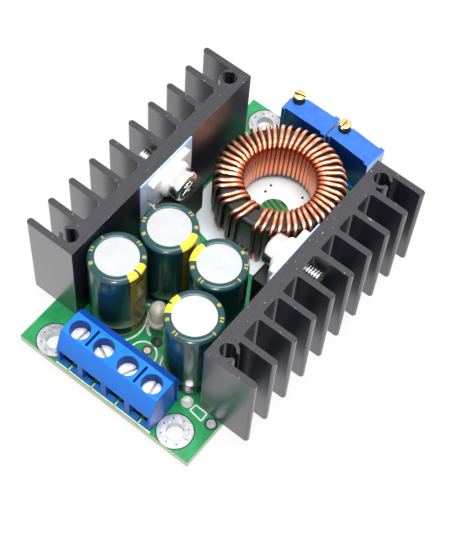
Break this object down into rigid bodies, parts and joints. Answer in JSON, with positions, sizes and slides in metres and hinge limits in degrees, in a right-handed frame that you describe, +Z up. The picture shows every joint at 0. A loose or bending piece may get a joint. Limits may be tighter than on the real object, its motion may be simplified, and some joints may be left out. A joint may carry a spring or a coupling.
{
  "type": "buck converter module",
  "caption": "Adjustable step-down converter board with wound ring inductor, tall capacitors, finned heatsinks with clamped power devices, screw terminals and trimmers.",
  "frame": {"origin": "centre of the four mounting holes, on the underside of the board", "axes": "+Z up out of the board's component side, +Y along the board from the screw terminals to the trimmers, +X to the right of someone who faces the terminals"},
  "size_m": [0.0468, 0.0656, 0.0243],
  "materials": {
    "solder_mask": "glossy green solder mask over glass laminate",
    "terminal_blue": "moulded bright blue plastic",
    "tinned_metal": "tinned metal",
    "clamp_steel": "zinc plated steel",
    "anodised_black": "black anodised extruded aluminium",
    "mould_compound": "black moulding compound",
    "thermal_pad": "pale blue silicone insulating pad",
    "white_nylon": "white nylon",
    "bright_steel": "nickel plated steel screw",
    "core_coating": "dark grey coated powder core",
    "copper_enamel": "clear enamel over copper wire",
    "can_aluminium": "bare drawn aluminium",
    "sleeve_green": "dark green shrunk sleeve with a gold stripe",
    "bung_rubber": "black rubber bung",
    "trimmer_blue": "moulded blue plastic",
    "screw_brass": "turned brass",
    "lamp_epoxy": "clear epoxy",
    "chip_ceramic": "ceramic chip parts with tinned ends",
    "solder": "bright solder"
  },
  "bodies": {
    "module": {"circuit_board": "solder_mask", "left_terminal_housing": "terminal_blue", "right_terminal_housing": "terminal_blue", "terminal_contacts": "tinned_metal", "left_heatsink": "anodised_black", "right_heatsink": "anodised_black", "regulator_body": "mould_compound", "regulator_frame": "tinned_metal", "regulator_pad": "thermal_pad", "regulator_bush": "white_nylon", "regulator_screw": "bright_steel", "diode_body": "mould_compound", "diode_frame": "tinned_metal", "diode_pad": "thermal_pad", "diode_bush": "white_nylon", "diode_screw": "bright_steel", "inductor_core": "core_coating", "winding_strand_a": "copper_enamel", "winding_strand_b": "copper_enamel", "capacitor_a_can": "can_aluminium", "capacitor_a_sleeve": "sleeve_green", "capacitor_a_bung": "bung_rubber", "capacitor_b_can": "can_aluminium", "capacitor_b_sleeve": "sleeve_green", "capacitor_b_bung": "bung_rubber", "capacitor_c_can": "can_aluminium", "capacitor_c_sleeve": "sleeve_green", "capacitor_c_bung": "bung_rubber", "capacitor_d_can": "can_aluminium", "capacitor_d_sleeve": "sleeve_green", "capacitor_d_bung": "bung_rubber", "capacitor_leads": "tinned_metal", "trimmer_1_housing": "trimmer_blue", "trimmer_1_pins": "tinned_metal", "trimmer_2_housing": "trimmer_blue", "trimmer_2_pins": "tinned_metal", "lamp_lens": "lamp_epoxy", "lamp_leads": "tinned_metal", "control_chip": "mould_compound", "control_chip_legs": "tinned_metal", "supply_chip": "mould_compound", "supply_chip_legs": "tinned_metal", "shunt_resistor": "mould_compound", "chip_resistors": "mould_compound", "chip_capacitors": "chip_ceramic", "solder_joints": "solder"},
    "clamp_1": {"clamp_cage_1": "clamp_steel"},
    "clamp_2": {"clamp_cage_2": "clamp_steel"},
    "clamp_3": {"clamp_cage_3": "clamp_steel"},
    "clamp_4": {"clamp_cage_4": "clamp_steel"},
    "clamp_screw_1": {"clamp_screw_1": "clamp_steel"},
    "clamp_screw_2": {"clamp_screw_2": "clamp_steel"},
    "clamp_screw_3": {"clamp_screw_3": "clamp_steel"},
    "clamp_screw_4": {"clamp_screw_4": "clamp_steel"},
    "adjuster_1": {"trimmer_1_screw": "screw_brass"},
    "adjuster_2": {"trimmer_2_screw": "screw_brass"}
  },
  "joints": [
    {"name": "clamp_screw_1_turn", "type": "hinge", "parent": "module", "child": "clamp_screw_1", "pos_m": [-0.00774, -0.02855, 0.008], "axis": [0, 0, 1], "range_deg": [0, 1400]},
    {"name": "clamp_1_slide", "type": "slide", "parent": "module", "child": "clamp_1", "axis": [0, 0, -1], "range_m": [0, 0.00175]},
    {"name": "clamp_screw_2_turn", "type": "hinge", "parent": "module", "child": "clamp_screw_2", "pos_m": [-0.00266, -0.02855, 0.008], "axis": [0, 0, 1], "range_deg": [0, 1400]},
    {"name": "clamp_2_slide", "type": "slide", "parent": "module", "child": "clamp_2", "axis": [0, 0, -1], "range_m": [0, 0.00175]},
    {"name": "clamp_screw_3_turn", "type": "hinge", "parent": "module", "child": "clamp_screw_3", "pos_m": [0.00242, -0.02855, 0.008], "axis": [0, 0, 1], "range_deg": [0, 1400]},
    {"name": "clamp_3_slide", "type": "slide", "parent": "module", "child": "clamp_3", "axis": [0, 0, -1], "range_m": [0, 0.00175]},
    {"name": "clamp_screw_4_turn", "type": "hinge", "parent": "module", "child": "clamp_screw_4", "pos_m": [0.0075, -0.02855, 0.008], "axis": [0, 0, 1], "range_deg": [0, 1400]},
    {"name": "clamp_4_slide", "type": "slide", "parent": "module", "child": "clamp_4", "axis": [0, 0, -1], "range_m": [0, 0.00175]},
    {"name": "adjuster_1_turn", "type": "hinge", "parent": "module", "child": "adjuster_1", "pos_m": [-0.00793, 0.03146, 0.012], "axis": [0, 0, 1], "continuous": true},
    {"name": "adjuster_2_turn", "type": "hinge", "parent": "module", "child": "adjuster_2", "pos_m": [0.00211, 0.0317, 0.012], "axis": [0, 0, 1], "continuous": true}
  ],
  "couplings": [
    {"joint": "clamp_screw_1_turn", "follows": "clamp_1_slide", "rad_per_m": 13962},
    {"joint": "clamp_screw_2_turn", "follows": "clamp_2_slide", "rad_per_m": 13962},
    {"joint": "clamp_screw_3_turn", "follows": "clamp_3_slide", "rad_per_m": 13962},
    {"joint": "clamp_screw_4_turn", "follows": "clamp_4_slide", "rad_per_m": 13962}
  ]
}
